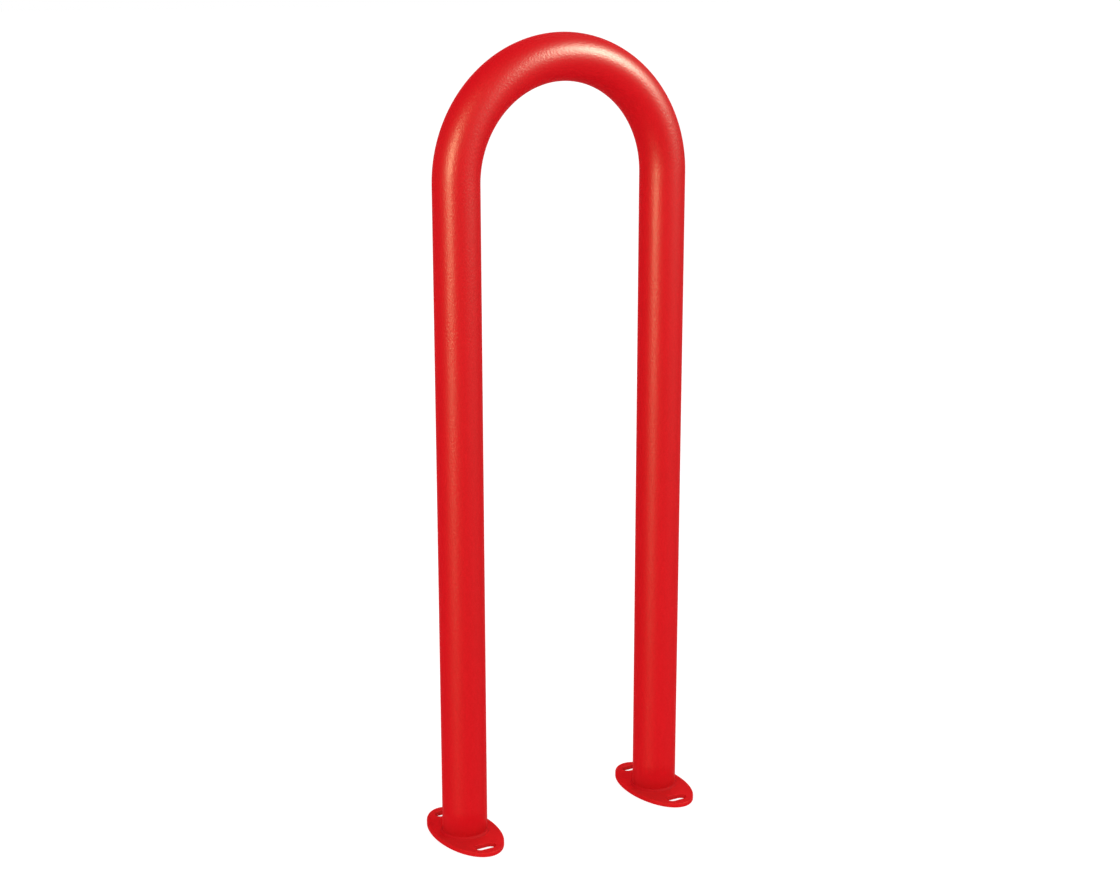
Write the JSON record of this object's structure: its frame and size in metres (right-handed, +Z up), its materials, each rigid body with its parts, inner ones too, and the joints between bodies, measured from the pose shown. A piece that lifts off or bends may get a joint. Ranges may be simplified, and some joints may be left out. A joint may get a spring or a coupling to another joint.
{
  "type": "hoop bike rack",
  "caption": "Surface-mounted hoop of bent steel pipe on oval foot plates with slotted anchor holes, for leaning and locking a bicycle.",
  "frame": {"origin": "on the ground, midway between the two legs and under the middle of the foot plates", "axes": "+Z up; +X from the left leg to the right leg, in the plane of the hoop; +Y across that plane, along the long way of the foot plates, away from the side the picture was taken from"},
  "size_m": [0.3096, 0.1259, 0.8429],
  "materials": {
    "red_powder_coat": "satin"
  },
  "bodies": {
    "root": {"hoop_pipe": "red_powder_coat", "left_foot_plate": "red_powder_coat", "left_weld_bead": "red_powder_coat", "right_foot_plate": "red_powder_coat", "right_weld_bead": "red_powder_coat"}
  },
  "joints": []
}
